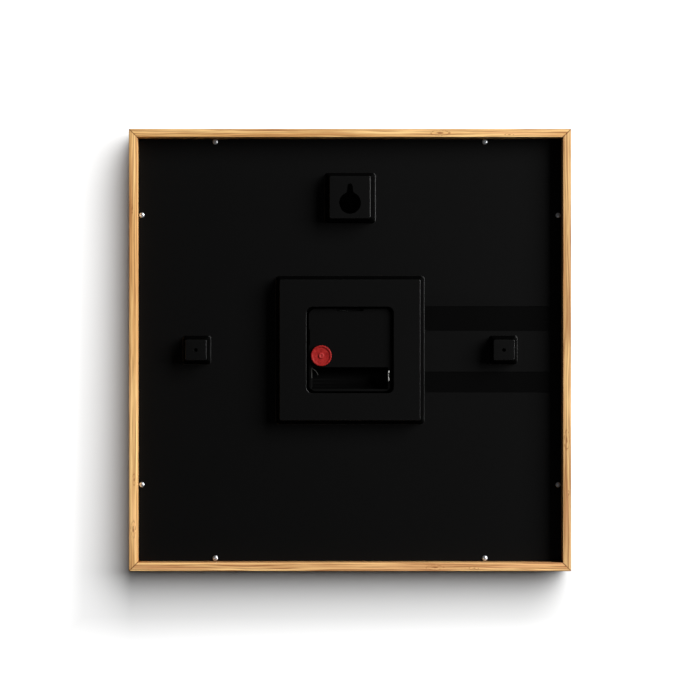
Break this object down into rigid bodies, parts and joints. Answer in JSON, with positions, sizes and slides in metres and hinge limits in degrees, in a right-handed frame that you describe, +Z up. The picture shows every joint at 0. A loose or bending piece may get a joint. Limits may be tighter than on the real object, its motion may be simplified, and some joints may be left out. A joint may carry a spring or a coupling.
{
  "type": "wall clock",
  "caption": "Square battery-powered wall clock: mitred wooden frame, black back panel with hanger, window to the quartz movement with setting knob and cell bay, and three hands behind glass.",
  "frame": {"origin": "on the wall plane, on the axis of the hands, at the centre of the square frame", "axes": "+Y points into the wall and -Y out of the dial, +Z up, +X to the right as the dial is read"},
  "size_m": [0.3, 0.04, 0.3],
  "materials": {
    "frame_wood": "satin",
    "clear_glass": "gloss",
    "white_card": "matte",
    "dial_white": "matte",
    "panel_black": "satin",
    "screw_steel": "satin",
    "movement_black": "satin",
    "brass_fittings": "satin",
    "gasket_rubber": "matte",
    "motor_iron": "satin",
    "gear_plastic": "satin",
    "winding_copper": "satin",
    "board_green": "satin",
    "contact_steel": "satin",
    "chip_resin": "matte",
    "magnet_dark": "satin",
    "knob_red": "satin",
    "hand_black": "satin",
    "second_hand_red": "satin"
  },
  "bodies": {
    "case": {"frame_rail_top": "frame_wood", "frame_rail_right": "frame_wood", "frame_rail_bottom": "frame_wood", "frame_rail_left": "frame_wood", "front_glass": "clear_glass", "spacer_strips": "white_card", "dial_plate": "dial_white", "back_panel": "panel_black", "back_panel_screws": "screw_steel", "movement_rear_case": "movement_black", "movement_front_case": "movement_black", "bearing_plate": "movement_black", "mounting_nut": "brass_fittings", "dial_washer": "brass_fittings", "rubber_gasket": "gasket_rubber", "stator_plate": "motor_iron", "coil_core": "motor_iron", "coil_bobbin": "gear_plastic", "coil_winding": "winding_copper", "circuit_board": "board_green", "quartz_crystal": "contact_steel", "driver_chip": "chip_resin", "battery_contact_positive": "contact_steel", "battery_contact_negative": "contact_steel"},
    "seconds": {"second_wheel": "gear_plastic", "second_arbor": "screw_steel", "second_hand": "second_hand_red"},
    "rotor": {"rotor_magnet": "magnet_dark", "rotor_pinion": "gear_plastic"},
    "intermediate": {"intermediate_wheel": "gear_plastic"},
    "third": {"third_wheel": "gear_plastic"},
    "minute_drive": {"minute_wheel": "gear_plastic"},
    "minutes": {"minute_tube": "gear_plastic", "clutch_washer": "screw_steel", "minute_hand": "hand_black"},
    "transfer": {"transfer_wheel": "gear_plastic"},
    "hours": {"hour_wheel": "gear_plastic", "hour_hand": "hand_black"},
    "setting": {"setting_stem": "gear_plastic", "setting_knob": "knob_red"}
  },
  "joints": [
    {"name": "second_hand_turn", "type": "hinge", "parent": "case", "child": "seconds", "pos_m": [0, 0, 0], "axis": [0, 1, 0], "continuous": true},
    {"name": "rotor_turn", "type": "hinge", "parent": "case", "child": "rotor", "pos_m": [0.01554, 0, 0.01207], "axis": [0, 1, 0], "continuous": true},
    {"name": "intermediate_turn", "type": "hinge", "parent": "case", "child": "intermediate", "pos_m": [0.0054, 0, 0.00935], "axis": [0, 1, 0], "continuous": true},
    {"name": "third_turn", "type": "hinge", "parent": "case", "child": "third", "pos_m": [-0.00883, 0, 0.0051], "axis": [0, 1, 0], "continuous": true},
    {"name": "minute_drive_turn", "type": "hinge", "parent": "case", "child": "minute_drive", "pos_m": [0, 0, 0], "axis": [0, 1, 0], "continuous": true},
    {"name": "minute_hand_turn", "type": "hinge", "parent": "case", "child": "minutes", "pos_m": [0, 0, 0], "axis": [0, 1, 0], "continuous": true},
    {"name": "transfer_turn", "type": "hinge", "parent": "case", "child": "transfer", "pos_m": [0.01049, 0, 0.00332], "axis": [0, 1, 0], "continuous": true},
    {"name": "hour_hand_turn", "type": "hinge", "parent": "case", "child": "hours", "pos_m": [0, 0, 0], "axis": [0, 1, 0], "continuous": true},
    {"name": "setting_knob_turn", "type": "hinge", "parent": "case", "child": "setting", "pos_m": [0.0195, 0, -0.0039], "axis": [0, 1, 0], "continuous": true}
  ],
  "couplings": [
    {"joint": "rotor_turn", "follows": "second_hand_turn", "ratio": 30},
    {"joint": "intermediate_turn", "follows": "second_hand_turn", "ratio": -5},
    {"joint": "third_turn", "follows": "second_hand_turn", "ratio": -0.13333},
    {"joint": "minute_drive_turn", "follows": "second_hand_turn", "ratio": 0.016667},
    {"joint": "transfer_turn", "follows": "minute_hand_turn", "ratio": -0.33333},
    {"joint": "hour_hand_turn", "follows": "minute_hand_turn", "ratio": 0.083333},
    {"joint": "setting_knob_turn", "follows": "minute_hand_turn", "ratio": 0.83333}
  ]
}
